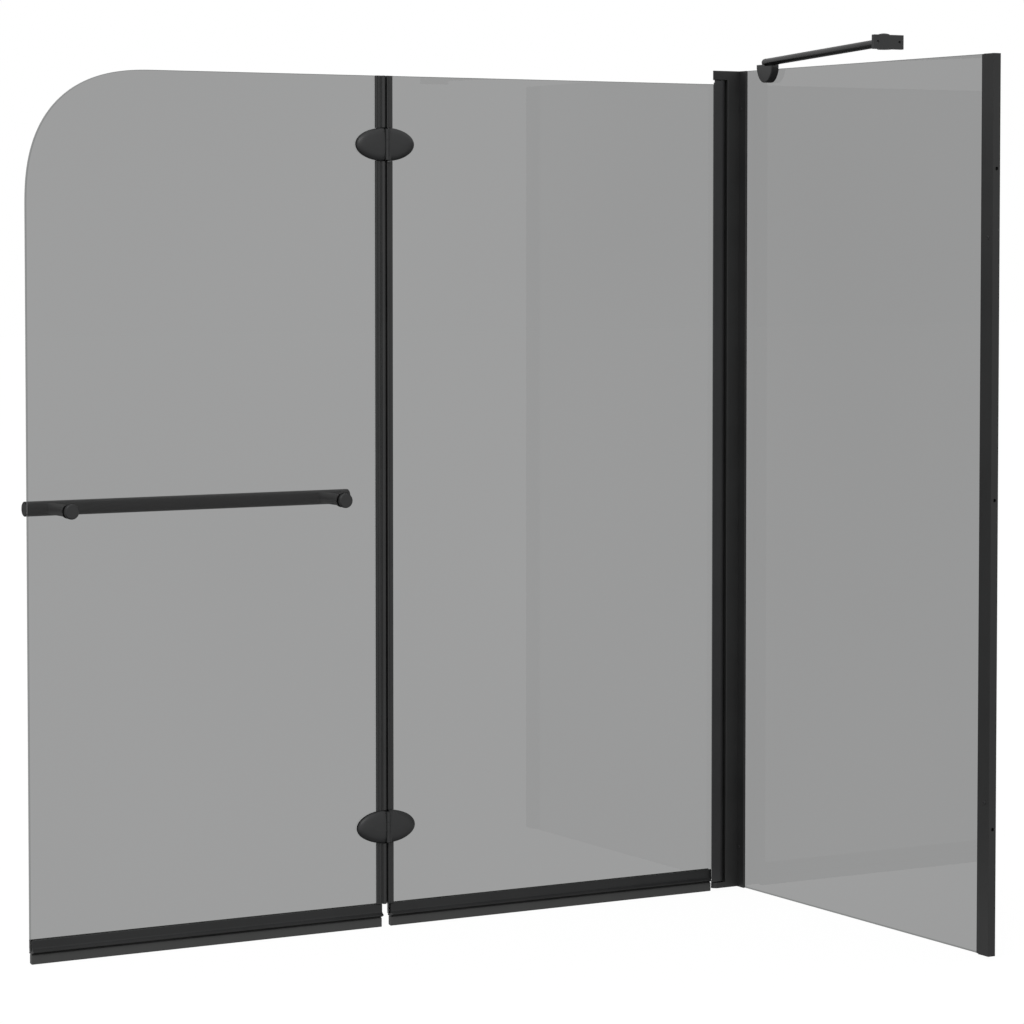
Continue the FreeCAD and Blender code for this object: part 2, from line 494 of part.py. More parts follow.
# the pivot end of the inner rail stops along the bevel of the pivot profile's flange
inner_rail = rail(*INNER_RAIL)
inner_rail = inner_rail.common(beyond(PROFILE_X0 - 0.4, 0, 40).fuse(box(-700, PROFILE_X0 - 0.9, -20, 20, 0, 40)))
put("inner_bottom_rail", inner_rail)
put("outer_wiper_lip", prism_x(LIP_PTS, OUTER_RAIL[0] + 0.3, OUTER_RAIL[1] - 0.4))
put("inner_wiper_lip", prism_x(LIP_PTS, INNER_RAIL[0] + 0.4, INNER_LIP_X1))

# ------------------------------------------------- seals between the panes
SEAL_Z0, SEAL_Z1 = RAIL_TOP + 0.3, PANE_TOP
SEAL_CLEAR = 0.35                           # to the rim of the oval hinges
SEAL_CORE = 2.7                             # between the panes they run on behind the hinges
# outer pane: U on the glass edge, ridged face to the bath, a closing fin behind
OUTER_SEAL = [(-655.0, -3.0), (-655.0, -6.0), (-654.2, -7.0), (-652.6, -7.0), (-651.9, -6.3), (-650.6, -6.3),
              (-649.9, -7.4), (-648.2, -7.4), (-647.5, -6.6), (-646.2, -6.6), (-645.2, -9.2), (-643.4, -10.4),
              (-641.4, -10.4), (-640.5, -9.6), (-640.5, 4.0), (-635.0, 4.0), (-635.0, 4.8),
              (-641.3, 5.4), (-648.0, 5.4), (-648.6, 4.8), (-648.6, 3.0), (-645.0, 3.0), (-645.0, -3.0)]
INNER_SEAL = [(-626.4, -3.0), (-626.4, -6.2), (-627.2, -7.2), (-633.0, -7.2), (-635.0, -9.6), (-636.4, -9.6),
              (-637.1, -8.9), (-637.1, 2.2), (-636.4, 3.0), (-634.6, 3.0), (-633.4, 3.0), (-633.4, -3.0)]


# ------------------------------------------------------------- oval hinges
def ellipse_wire(cx, y, cz, a, b):
    # the ellipse lies in a plane parallel to XZ, its long axis along X
    e = Part.Ellipse(V(a, 0, 0), V(0, b, 0), V(0, 0, 0)).toShape()
    e.rotate(V(0, 0, 0), V(1, 0, 0), 90)
    e.translate(V(cx, y, cz))
    return Part.Wire([e])


def seal(section):
    """One extrusion, with windows on both faces for the hinges; its core runs on between the panes."""
    s = prism_z(section, SEAL_Z0, SEAL_Z1)
    for cz in HINGE_Z:
        rim = ellipse_wire(FOLD_X, -20.0, cz, HINGE_A + SEAL_CLEAR, HINGE_B + SEAL_CLEAR)
        s = s.cut(Part.Face(rim).extrude(V(0, 20.0 - SEAL_CORE, 0)))
        rim = ellipse_wire(FOLD_X, SEAL_CORE, cz, BACK_A + SEAL_CLEAR, BACK_B + SEAL_CLEAR)
        s = s.cut(Part.Face(rim).extrude(V(0, 20.0 - SEAL_CORE, 0)))
    return s


put("outer_fold_seal", seal(OUTER_SEAL))
put("inner_fold_seal", seal(INNER_SEAL))


def oval(cz, y_back, y_front):
    """Domed oval: straight skirt, a rounded shoulder and a nearly flat crown."""
    span = -GT - PAD_T - y_front
    skirt = -GT - PAD_T - span * 0.36
    steps = [(0.0, y_back), (0.0, skirt), (0.8, skirt - span * 0.17), (2.6, skirt - span * 0.33),
             (5.6, skirt - span * 0.47), (9.6, skirt - span * 0.56), (14.5, skirt - span * 0.61),
             (20.5, y_front)]
    base = Part.Face(ellipse_wire(FOLD_X, y_back, cz, HINGE_A, HINGE_B)).extrude(V(0, skirt - y_back, 0))
    wires = [ellipse_wire(FOLD_X, y, cz, HINGE_A - d, HINGE_B - d) for d, y in steps[1:]]
    dome = Part.makeLoft(wires, True, False)
    return base.fuse(dome)


def knuckle(cz, spans):
    out = []
    for z0, z1 in spans:
        out.append(vrod(FOLD_X, FOLD_Y, cz + z0, cz + z1, KNUCKLE_R))
    return out


K = 23.2                                    # half height of the barrel
K1 = 7.4
INNER_KN = ((-K, -K1), (K1, K))
OUTER_KN = ((-K1 + 0.35, K1 - 0.35),)
hinge_screws = {-1: [], 1: []}
hinge_pads = {-1: [], 1: []}
for name, cz in (("lower", HINGE_Z[0]), ("upper", HINGE_Z[1])):
    front = oval(cz, -GT - FRONT_PAD, HINGE_FRONT)
    flat = Part.Face(ellipse_wire(FOLD_X, GT + PAD_T, cz, BACK_A, BACK_B)).extrude(V(0, 5.2, 0))
    flat = soften(flat, 2.0, lambda e: abs(e.BoundBox.YMin - (GT + PAD_T + 5.2)) < 0.01)
    padf = Part.Face(ellipse_wire(FOLD_X, -GT - FRONT_PAD, cz, HINGE_A - 0.15, HINGE_B - 0.15)).extrude(
        V(0, FRONT_PAD, 0))
    padb = Part.Face(ellipse_wire(FOLD_X, GT, cz, BACK_A - 0.6, BACK_B - 0.6)).extrude(V(0, PAD_T, 0))
    for side, word in ((-1, "outer"), (1, "inner")):
        far = FOLD_X + side * 80
        near = FOLD_X + side * HINGE_GAP
        half = box(min(far, near), max(far, near), -40, 40, cz - 40, cz + 40)
        leaf = front.common(half)
        spans = OUTER_KN if side < 0 else INNER_KN
        gaps = INNER_KN if side < 0 else OUTER_KN
        for z0, z1 in spans:
            web_x = sorted((FOLD_X, near + side * 3.0))
            web = box(web_x[0], web_x[1], FOLD_Y + 0.3, FOLD_Y + 3.0, cz + z0, cz + z1)
            leaf = leaf.fuse(web).fuse(vrod(FOLD_X, FOLD_Y, cz + z0, cz + z1, KNUCKLE_R))
        leaf = leaf.cut(vrod(FOLD_X, FOLD_Y, cz - 40, cz + 40, HINGE_PIN_R + (0.06 if side < 0 else 0.0)))
        back = flat.common(half)
        pf, pb = padf.common(half), padb.common(half)
        for dz in (-HINGE_BOLT_Z, HINGE_BOLT_Z):
            x, z = FOLD_X + side * HINGE_BOLT_X, cz + dz
            leaf = leaf.cut(yrod(x, z, -9.5, 0, 2.0))
            back = back.cut(yrod(x, z, 0, 20, 2.0)).cut(
                Part.makeCone(2.0, 4.0, 2.0, V(x, GT + PAD_T + 2.4, z), V(0, 1, 0))).cut(
                yrod(x, z, GT + PAD_T + 4.4, 20, 4.0))
            pf = pf.cut(yrod(x, z, -20, 20, 2.0))
            pb = pb.cut(yrod(x, z, -20, 20, 2.0))
            sc = fuse(yrod(x, z, -9.2, GT + PAD_T + 3.4, 2.0),
                      Part.makeCone(2.0, 4.0, 2.0, V(x, GT + PAD_T + 2.4, z), V(0, 1, 0)))
            hx = [(x + 1.35 * math.cos(math.radians(a)), z + 1.35 * math.sin(math.radians(a)))
                  for a in range(0, 360, 60)]
            sc = sc.cut(prism_y(hx, GT + PAD_T + 2.8, 20))
            hinge_screws[side].append(sc)
        hinge_pads[side] += [pf, pb]
        put(name + "_hinge_" + word + "_leaf", leaf)
        put(name + "_hinge_" + word + "_back_plate", back)
    pin = vrod(FOLD_X, FOLD_Y, cz - K, cz + K, HINGE_PIN_R)
    put(name + "_hinge_pin", pin)
put("outer_hinge_pads", *hinge_pads[-1])
put("inner_hinge_pads", *hinge_pads[1])
put("outer_hinge_screws", *hinge_screws[-1])
put("inner_hinge_screws", *hinge_screws[1])

# --------------------------------------------------------------- towel bar
tb = xrod(BAR_Y, BAR_Z, BAR_X0 + 2.0, BAR_X1 - 2.0, BAR_R)
tb = tb.cut(xrod(BAR_Y, BAR_Z, BAR_X0 - 1, BAR_X1 + 1, BAR_R - 1.4))
posts, caps, washers, studs, ends, sleeves = [], [], [], [], [], []
full = xrod(BAR_Y, BAR_Z, BAR_X0, BAR_X1, BAR_R)
for x in BAR_POST_X:
    p = yrod(x, BAR_Z, GT + 1.0, BAR_Y - 6.0, BAR_POST_R).fuse(yrod(x, BAR_Z, GT + 1.0, GT + 5.0, BAR_CAP_R - 0.5))
    p = p.removeSplitter().cut(full)
    p = max(p.Solids, key=lambda s: s.Volume)
    p = p.cut(yrod(x, BAR_Z, -20, 100, 3.0))
    posts.append(p)
    c = yrod(x, BAR_Z, -9.2, -GT - 1.0, BAR_CAP_R)
    c = soften(c, 1.8, lambda e: abs(e.BoundBox.YMax + 9.2) < 0.01)
    c = c.cut(yrod(x, BAR_Z, -7.2, 0, 3.0))
    caps.append(c)
    washers.append(yrod(x, BAR_Z, -GT - 1.0, -GT, 9.6).cut(yrod(x, BAR_Z, -20, 20, 3.0)))
    washers.append(yrod(x, BAR_Z, GT, GT + 1.0, 9.6).cut(yrod(x, BAR_Z, -20, 20, 3.0)))
    sleeves.append(yrod(x, BAR_Z, -GT, GT, 5.0).cut(yrod(x, BAR_Z, -20, 20, 3.0)))
    studs.append(yrod(x, BAR_Z, -7.0, BAR_Y - 7.0, 3.0))
    tb = tb.cut(yrod(x, BAR_Z, 40, BAR_Y, 3.0))
for x, d in ((BAR_X0, 1), (BAR_X1, -1)):
    cap = fuse(xrod(BAR_Y, BAR_Z, min(x, x + 2.0 * d), max(x, x + 2.0 * d), BAR_R),
               xrod(BAR_Y, BAR_Z, min(x + 2.0 * d, x + 12.0 * d), max(x + 2.0 * d, x + 12.0 * d), BAR_R - 1.4))
    cap = soften(cap, 1.4, lambda e: abs(e.BoundBox.XMin - x) < 0.01 and abs(e.BoundBox.XMax - x) < 0.01)
    ends.append(cap)
put("towel_bar", tb)
put("towel_bar_end_caps", *ends)
put("towel_bar_posts", *posts)
put("towel_bar_inside_caps", *caps)
put("towel_bar_washers", *washers)
put("towel_bar_sleeves", *sleeves)
put("towel_bar_studs", *studs)
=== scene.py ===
import math

import bmesh
import bpy
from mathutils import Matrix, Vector
from mathutils.geometry import tessellate_polygon


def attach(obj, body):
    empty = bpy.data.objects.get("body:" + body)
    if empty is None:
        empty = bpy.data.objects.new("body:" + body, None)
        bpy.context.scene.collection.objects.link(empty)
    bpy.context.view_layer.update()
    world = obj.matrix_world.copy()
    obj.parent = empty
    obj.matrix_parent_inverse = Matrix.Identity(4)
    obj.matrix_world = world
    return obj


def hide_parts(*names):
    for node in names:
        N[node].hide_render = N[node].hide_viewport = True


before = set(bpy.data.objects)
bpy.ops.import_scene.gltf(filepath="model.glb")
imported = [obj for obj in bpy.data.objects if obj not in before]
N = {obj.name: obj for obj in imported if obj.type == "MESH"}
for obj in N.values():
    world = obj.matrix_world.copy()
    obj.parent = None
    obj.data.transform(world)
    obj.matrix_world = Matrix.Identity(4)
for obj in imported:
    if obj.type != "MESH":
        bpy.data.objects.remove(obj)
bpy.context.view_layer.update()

MM = 0.001

# sizes that the replaced pieces share with the CAD, in millimetres
GT = 3.0
PANE_TOP, PANE_BOTTOM = 1279.0, 14.5
OUTER_X0, OUTER_X1 = -1215.0, -645.0
INNER_X0, INNER_X1 = -633.4, -46.0
CORNER_R, CORNER_N = 200.0, 2.5
FOLD_X, FOLD_Y = -639.2, -13.5
HINGE_Z = (148.2, 1176.4)
HINGE_A, HINGE_B = 48.75, 25.1
BACK_A, BACK_B = 41.5, 20.5
SEAL_CLEAR, SEAL_CORE = 0.35, 2.7
BAR_POST_X, BAR_Z = (-1149.0, -707.0), 644.0
RAIL_TOP = 30.5
OUTER_RAIL, INNER_RAIL = (-1213.8, -645.8), (-630.7, -51.6)
INNER_LIP_X1 = -52.4
LIP_Z0 = -4.6


# ------------------------------------------------------------------ materials
def material(name):
    m = bpy.data.materials.new(name)
    m.use_nodes = True
    nt = m.node_tree
    nt.nodes.clear()
    out = nt.nodes.new("ShaderNodeOutputMaterial")
    return m, nt, out


def node(nt, kind, **kw):
    n = nt.nodes.new(kind)
    for k, v in kw.items():
        if k in n.inputs:
            n.inputs[k].default_value = v
        else:
            setattr(n, k, v)
    return n


def noise(nt, vec, scale, detail=2.0, rough=0.5):
    n = node(nt, "ShaderNodeTexNoise")
    n.inputs["Scale"].default_value = scale
    n.inputs["Detail"].default_value = detail
    n.inputs["Roughness"].default_value = rough
    nt.links.new(vec, n.inputs["Vector"])
    return n.outputs["Fac"]


def coords(nt, stretch=(1.0, 1.0, 1.0)):
    tc = node(nt, "ShaderNodeTexCoord")
    mp = node(nt, "ShaderNodeMapping")
    mp.inputs["Scale"].default_value = stretch
    nt.links.new(tc.outputs["Object"], mp.inputs["Vector"])
    return mp.outputs["Vector"]


def spread(nt, fac, lo, hi):
    r = node(nt, "ShaderNodeMapRange")
    r.inputs["From Min"].default_value = 0.25
    r.inputs["From Max"].default_value = 0.75
    r.inputs["To Min"].default_value = lo
    r.inputs["To Max"].default_value = hi
    nt.links.new(fac, r.inputs["Value"])
    return r.outputs["Result"]


def blend_colour(nt, fac, a, b):
    m = node(nt, "ShaderNodeMix", data_type="RGBA")
    m.inputs["A"].default_value = (*a, 1.0) if len(a) == 3 else a
    # the colour sockets of a Mix node are found by their type
    cols = [s for s in m.inputs if s.type == "RGBA"]
    cols[0].default_value = (*a, 1.0)
    cols[1].default_value = (*b, 1.0)
    nt.links.new(fac, m.inputs[0])
    return [s for s in m.outputs if s.type == "RGBA"][0]


def bump(nt, height, distance, strength=1.0, normal=None):
    b = node(nt, "ShaderNodeBump")
    b.inputs["Strength"].default_value = strength
    b.inputs["Distance"].default_value = distance
    nt.links.new(height, b.inputs["Height"])
    if normal is not None:
        nt.links.new(normal, b.inputs["Normal"])
    return b.outputs["Normal"]


def coated(name, dark, light, rough, grain=900.0, grain_depth=0.00002, swell=60.0, swell_depth=0.00003,
           stretch=(1, 1, 1), line_scale=0.0, line_depth=0.0, metallic=0.0, specular=0.5, coat=0.0):
    """A black finish: a shade that drifts a little, fine grain, a long soft swell, and fine lines drawn along one way."""
    m, nt, out = material(name)
    p = node(nt, "ShaderNodeBsdfPrincipled")
    v = coords(nt)
    drift = noise(nt, v, 9.0, 3.0, 0.6)
    fine = noise(nt, v, grain, 3.0, 0.6)
    tone = node(nt, "ShaderNodeMath", operation="MULTIPLY_ADD")
    nt.links.new(fine, tone.inputs[0])
    tone.inputs[1].default_value = 0.35
    nt.links.new(drift, tone.inputs[2])
    tone2 = spread(nt, tone.outputs[0], 0.0, 1.0)
    nt.links.new(blend_colour(nt, tone2, dark, light), p.inputs["Base Color"])
    nt.links.new(spread(nt, drift, rough[0], rough[1]), p.inputs["Roughness"])
    nrm = bump(nt, noise(nt, v, swell, 2.0, 0.5), swell_depth)
    nrm = bump(nt, fine, grain_depth, normal=nrm)
    if line_scale:
        lv = coords(nt, stretch)
        nrm = bump(nt, noise(nt, lv, line_scale, 2.0, 0.5), line_depth, normal=nrm)
    nt.links.new(nrm, p.inputs["Normal"])
    p.inputs["Metallic"].default_value = metallic
    p.inputs["Specular IOR Level"].default_value = specular
    if coat:
        p.inputs["Coat Weight"].default_value = coat
        p.inputs["Coat Roughness"].default_value = 0.25
    nt.links.new(p.outputs[0], out.inputs["Surface"])
    return m


def glass_face(name, tint, wave=0.000012, ior=1.36):
    """Grey body-tinted float glass. Each face passes part of the light; the face towards the eye also mirrors by Fresnel."""
    m, nt, out = material(name)
    v = coords(nt)
    # the bath of molten metal leaves the tint uneven by less than one part in a hundred
    drift = noise(nt, v, 1.3, 2.0, 0.45)
    lo = tuple(c * 0.990 for c in tint)
    hi = tuple(c * 1.010 for c in tint)
    see = node(nt, "ShaderNodeBsdfTransparent")
    nt.links.new(blend_colour(nt, spread(nt, drift, 0.0, 1.0), lo, hi), see.inputs["Color"])
    shine = node(nt, "ShaderNodeBsdfAnisotropic")
    shine.inputs["Color"].default_value = (1.0, 1.0, 1.0, 1.0)
    shine.inputs["Roughness"].default_value = 0.0
    # toughening rolls leave waves of a hand's width, only hundredths of a millimetre high
    rolled = coords(nt, (0.35, 0.35, 1.0))
    nrm = bump(nt, noise(nt, rolled, 14.0, 1.0, 0.4), wave)
    nt.links.new(nrm, shine.inputs["Normal"])
    fres = node(nt, "ShaderNodeFresnel", IOR=ior)
    geo = node(nt, "ShaderNodeNewGeometry")
    front = node(nt, "ShaderNodeMath", operation="SUBTRACT")
    front.inputs[0].default_value = 1.0
    nt.links.new(geo.outputs["Backfacing"], front.inputs[1])
    share = node(nt, "ShaderNodeMath", operation="MULTIPLY")
    nt.links.new(fres.outputs[0], share.inputs[0])
    nt.links.new(front.outputs[0], share.inputs[1])
    mix = node(nt, "ShaderNodeMixShader")
    nt.links.new(share.outputs[0], mix.inputs[0])
    nt.links.new(see.outputs[0], mix.inputs[1])
    nt.links.new(shine.outputs[0], mix.inputs[2])
    nt.links.new(mix.outputs[0], out.inputs["Surface"])
    return m


M = {}
M["pane"] = glass_face("smoked_glass", (0.5671, 0.5691, 0.5691), ior=1.44)
# painted shade: a darker copy of the smoked glass for the side pane, standing in for the dimmer view through it at a
# slant
M["pane_side"] = glass_face("smoked_glass_side_painted_shade", (0.558, 0.560, 0.560))
M["pane_edge"] = glass_face("smoked_glass_edge", (0.385, 0.393, 0.389), wave=0.00001)
M["profile"] = coated("black_powder_coat", (0.0118, 0.0121, 0.0123), (0.0186, 0.0191, 0.0191), (0.42, 0.55),
                      grain=1500.0, grain_depth=0.000020, swell=220.0, swell_depth=0.00003)
M["channel"] = coated("black_powder_coat_channel", (0.0105, 0.0108, 0.0110), (0.0170, 0.0175, 0.0175), (0.42, 0.55),
                      grain=1500.0, grain_depth=0.000020, swell=220.0, swell_depth=0.00003, specular=0.42)
# painted light: a lighter, slightly bluer copy of the black powder coat for the pivot profile, lifting the front that
# the corner shades
M["door_profile"] = coated("black_powder_coat_door_painted_light", (0.0195, 0.0201, 0.0208), (0.0270, 0.0278, 0.0287), (0.42, 0.55),
                           grain=1500.0, grain_depth=0.000020, swell=220.0, swell_depth=0.00003)
M["rail"] = coated("black_rail_finish", (0.0095, 0.0100, 0.0102), (0.0170, 0.0175, 0.0178), (0.40, 0.52),
                   grain=1800.0, grain_depth=0.000012, swell=90.0, swell_depth=0.00002,
                   stretch=(0.02, 1.0, 1.0), line_scale=1600.0, line_depth=0.00002, specular=0.36)
M["lip"] = coated("black_wiper_rubber", (0.032, 0.0326, 0.0323), (0.048, 0.049, 0.048), (0.55, 0.70),
                  grain=1200.0, grain_depth=0.00002, swell=70.0, swell_depth=0.00004,
                  stretch=(0.02, 1.0, 1.0), line_scale=1300.0, line_depth=0.00003)
M["seal"] = coated("black_seal_rubber", (0.012, 0.0125, 0.0125), (0.022, 0.0225, 0.0225), (0.48, 0.62),
                   grain=1200.0, grain_depth=0.00002, swell=70.0, swell_depth=0.00003,
                   stretch=(1.0, 1.0, 0.02), line_scale=1300.0, line_depth=0.00003)
M["gasket"] = coated("black_glazing_rubber", (0.010, 0.0105, 0.0105), (0.018, 0.0185, 0.0185), (0.55, 0.7),
                     grain=1200.0, grain_depth=0.00002, swell=70.0, swell_depth=0.00003,
                     stretch=(1.0, 1.0, 0.02), line_scale=1300.0, line_depth=0.00003)
M["casting"] = coated("black_cast_finish", (0.0120, 0.0124, 0.0128), (0.0200, 0.0206, 0.0212), (0.36, 0.46),
                      grain=1100.0, grain_depth=0.00003, swell=120.0, swell_depth=0.00005, specular=0.45)
# painted shade: a darker, duller copy of the cast finish for the towel bar posts and the stay tongue, so they show no
# highlight
M["post_casting"] = coated("black_cast_standoff_painted_shade", (0.0110, 0.0114, 0.0118), (0.0180, 0.0185, 0.0190),
                           (0.42, 0.54), grain=1100.0, grain_depth=0.00003, swell=120.0, swell_depth=0.00004,
                           specular=0.12)
# painted shade: a darker, nearly unreflecting copy of the tube finish for the stabiliser bar, keeping it from mirroring
# the bright surroundings
M["stay"] = coated("black_stay_tube_painted_shade", (0.0030, 0.0031, 0.0032), (0.0058, 0.0060, 0.0062), (0.22, 0.30),
                   grain=1600.0, grain_depth=0.000012, swell=160.0, swell_depth=0.00003, specular=0.045)
# painted shade: a darker, duller copy of the tube finish that makes the towel bar's end caps look shaded
M["end_cap"] = coated("black_end_cap_painted_shade", (0.0070, 0.0073, 0.0075), (0.0120, 0.0124, 0.0127), (0.36, 0.46),
                      grain=1600.0, grain_depth=0.000012, swell=160.0, swell_depth=0.00003, specular=0.085)
# near-black and almost unreflecting; the hinge pads show as the dark rim round each hinge cover
M["pad"] = coated("black_pad_rubber", (0.0010, 0.00105, 0.00105), (0.0022, 0.0023, 0.0023), (0.78, 0.90),
                  grain=1200.0, grain_depth=0.00002, swell=70.0, swell_depth=0.00003, specular=0.03)
M["tube"] = coated("black_tube_finish", (0.0080, 0.0083, 0.0085), (0.0140, 0.0145, 0.0148), (0.28, 0.38),
                   grain=1600.0, grain_depth=0.000012, swell=160.0, swell_depth=0.00003)
M["screw"] = coated("black_screw_finish", (0.010, 0.010, 0.011), (0.020, 0.020, 0.021), (0.30, 0.42),
                    grain=2500.0, grain_depth=0.00001, swell=300.0, swell_depth=0.00001)
M["nylon"] = coated("black_nylon", (0.013, 0.013, 0.0135), (0.022, 0.022, 0.0225), (0.50, 0.62),
                    grain=1800.0, grain_depth=0.00002, swell=150.0, swell_depth=0.00002)
M["steel"] = coated("steel_pin_finish", (0.42, 0.42, 0.41), (0.58, 0.57, 0.56), (0.24, 0.34),
                    grain=2500.0, grain_depth=0.000004, swell=200.0, swell_depth=0.00001, metallic=1.0,
                    stretch=(1.0, 1.0, 0.03), line_scale=2500.0, line_depth=0.00001)

FINISH = {
    "corner_post": "profile", "pivot_profile": "door_profile", "top_cap": "profile", "bottom_cap": "profile",
    "wall_channel": "channel", "glass_edge_profile": "channel",
    "post_lock_screws": "screw", "wall_channel_lock_screws": "screw", "cap_screws": "screw",
    "upper_pivot_pin": "steel", "lower_pivot_pin": "steel", "pivot_thrust_washers": "nylon",
    "pivot_bushes": "nylon",
    "stabiliser_bar": "stay", "stabiliser_bar_end_plug": "stay", "stabiliser_bar_tongue": "post_casting",
    "stabiliser_clamp": "casting", "stabiliser_clamp_pads": "gasket", "stabiliser_clamp_sleeve": "nylon",
    "stabiliser_clamp_bolt": "screw", "stabiliser_clamp_screw": "screw",
    "stabiliser_wall_bracket": "casting", "stabiliser_pivot_screw": "screw",
    "outer_bottom_rail": "rail", "inner_bottom_rail": "rail",
    "lower_hinge_inner_back_plate": "casting", "upper_hinge_inner_back_plate": "casting",
    "lower_hinge_outer_back_plate": "casting", "upper_hinge_outer_back_plate": "casting",
    "lower_hinge_inner_leaf": "casting", "upper_hinge_inner_leaf": "casting",
    "lower_hinge_outer_leaf": "casting", "upper_hinge_outer_leaf": "casting",
    "inner_hinge_pads": "pad", "outer_hinge_pads": "pad",
    "inner_hinge_screws": "screw", "outer_hinge_screws": "screw",
    "lower_hinge_pin": "screw", "upper_hinge_pin": "screw",
    "towel_bar": "tube", "towel_bar_end_caps": "end_cap", "towel_bar_posts": "post_casting",
    "towel_bar_inside_caps": "casting", "towel_bar_washers": "nylon", "towel_bar_sleeves": "nylon",
    "towel_bar_studs": "steel",
}
for name, key in FINISH.items():
    o = N[name]
    o.data.materials.clear()
    o.data.materials.append(M[key])


# -------------------------------------------------------------- mesh helpers
def build(name, verts, faces, mats, indices=None, angle=35.0):
    me = bpy.data.meshes.new(name)
    me.from_pydata([Vector(v) * MM for v in verts], [], faces)
    for m in mats:
        me.materials.append(m)
    if indices:
        me.polygons.foreach_set("material_index", indices)
    me.update()
    bm = bmesh.new()
    bm.from_mesh(me)
    bmesh.ops.recalc_face_normals(bm, faces=bm.faces)
    bm.to_mesh(me)
    bm.free()
    me.shade_smooth()
    me.set_sharp_from_angle(angle=math.radians(angle))
    o = bpy.data.objects.new(name, me)
    bpy.context.scene.collection.objects.link(o)
    return o


def area2(pts):
    return 0.5 * sum(a[0] * b[1] - b[0] * a[1] for a, b in zip(pts, pts[1:] + pts[:1]))


def inset(pts, d):
    """Moves a closed outline inwards by d, mitred, whichever way round it goes."""
    s = 1.0 if area2(pts) > 0 else -1.0
    out = []
    n = len(pts)
    for i in range(n):
        p0, p1, p2 = pts[i - 1], pts[i], pts[(i + 1) % n]
        e1 = Vector((p1[0] - p0[0], p1[1] - p0[1])).normalized()
        e2 = Vector((p2[0] - p1[0], p2[1] - p1[1])).normalized()
        n1, n2 = Vector((-e1.y, e1.x)) * s, Vector((-e2.y, e2.x)) * s
        k = (n1 + n2)
        k = k / max(k.dot(n1), 0.35)
        out.append((p1[0] + k.x * d, p1[1] + k.y * d))
    return out


def rounded(pts, r, steps=4):
    """A closed outline with each corner turned into an arc of radius r, or less where an edge is short."""
    out = []
    n = len(pts)
    for i in range(n):
        a, b, c = (Vector(pts[i - 1]), Vector(pts[i]), Vector(pts[(i + 1) % n]))
        u, w = (a - b), (c - b)
        lu, lw = u.length, w.length
        u, w = u / lu, w / lw
        cosang = max(-0.9999, min(0.9999, u.dot(w)))
        ang = math.acos(cosang)
        if ang > math.radians(172):
            out.append(tuple(b))
            continue
        cut = min(r / math.tan(ang / 2), 0.45 * lu, 0.45 * lw)
        p, q = b + u * cut, b + w * cut
        for k in range(steps + 1):
            t = k / steps
            out.append(tuple((1 - t) ** 2 * p + 2 * t * (1 - t) * b + t * t * q))
    return out


def place(plane, a, b, h):
    """A point from its two section coordinates and its place along the third axis."""
    if plane == "xy":
        return (a, b, h)
    if plane == "yz":
        return (h, a, b)
    return (a, h, b)          # "xz"


def extrusion(name, section, plane, spans, mat, end=0.25, rings=1, sway=None):
    """A soft profile with slightly rounded ends; sway moves a ring by (da, db) at its height."""
    verts, faces = [], []
    for h0, h1 in spans:
        stations = [(h0, 0.0, end), (h0, end, 0.0)]
        for k in range(1, rings):
            stations.append((h0 + end + (h1 - h0 - 2 * end) * k / rings, 0.0, 0.0))
        stations += [(h1, -end, 0.0), (h1, 0.0, end)]
        base = len(verts)
        n = len(section)
        for h, lift, d in stations:
            for a, b in (inset(section, d) if d else section):
                z = h + lift
                da, db = sway(z) if sway else (0.0, 0.0)
                verts.append(place(plane, a + da, b + db, z))
        for s in range(len(stations) - 1):
            for i in range(n):
                j = (i + 1) % n
                faces.append((base + s * n + i, base + s * n + j, base + (s + 1) * n + j, base + (s + 1) * n + i))
        for s in (0, len(stations) - 1):
            loop = [Vector((*p, 0.0)) for p in inset(section, end)]
            for tri in tessellate_polygon([loop]):
                faces.append(tuple(base + s * n + t for t in tri))
    return build(name, verts, faces, [mat])


def pane(name, outline, holes, plane, mats, arris=0.7):
    """A sheet of glass with ground arrises and drilled holes. Slot 0 is the face, slot 1 the edge."""
    verts, faces, index = [], [], []
    loops_face = [inset(outline, arris)]
    loops_edge = [list(outline)]
    for ca, cb, r in holes:
        ring = [(math.cos(2 * math.pi * k / 40), math.sin(2 * math.pi * k / 40)) for k in range(40)]
        loops_face.append([(ca + (r + 0.5) * x, cb + (r + 0.5) * y) for x, y in ring])
        loops_edge.append([(ca + r * x, cb + r * y) for x, y in ring])
    level = []
    for h, loops in ((-GT, loops_face), (-GT + arris, loops_edge), (GT - arris, loops_edge), (GT, loops_face)):
        level.append(len(verts))
        for lp in loops:
            verts += [place(plane, a, b, h) for a, b in lp]
    flat = [[Vector((a, b, 0.0)) for a, b in lp] for lp in loops_face]
    for tri in tessellate_polygon(flat):
        for s in (0, 3):
            faces.append(tuple(level[s] + t for t in tri))
            index.append(0)
    start = 0
    for lp in loops_face:
        n = len(lp)
        for s in range(3):
            for i in range(n):
                j = (i + 1) % n
                faces.append((level[s] + start + i, level[s] + start + j,
                              level[s + 1] + start + j, level[s + 1] + start + i))
                index.append(1)
        start += n
    return build(name, verts, faces, mats, index)


# ------------------------------------------------------------------ the panes
def corner(count=56):
    out = []
    for i in range(count + 1):
        a = math.pi / 2 * i / count
        out.append((OUTER_X0 + CORNER_R * (1 - math.cos(a) ** (2.0 / CORNER_N)),
                    PANE_TOP - CORNER_R * (1 - math.sin(a) ** (2.0 / CORNER_N))))
    return out


def hinge_holes(side):
    return [(FOLD_X + side * 24.0, z + dz, 4.0) for z in HINGE_Z for dz in (-10.0, 10.0)]


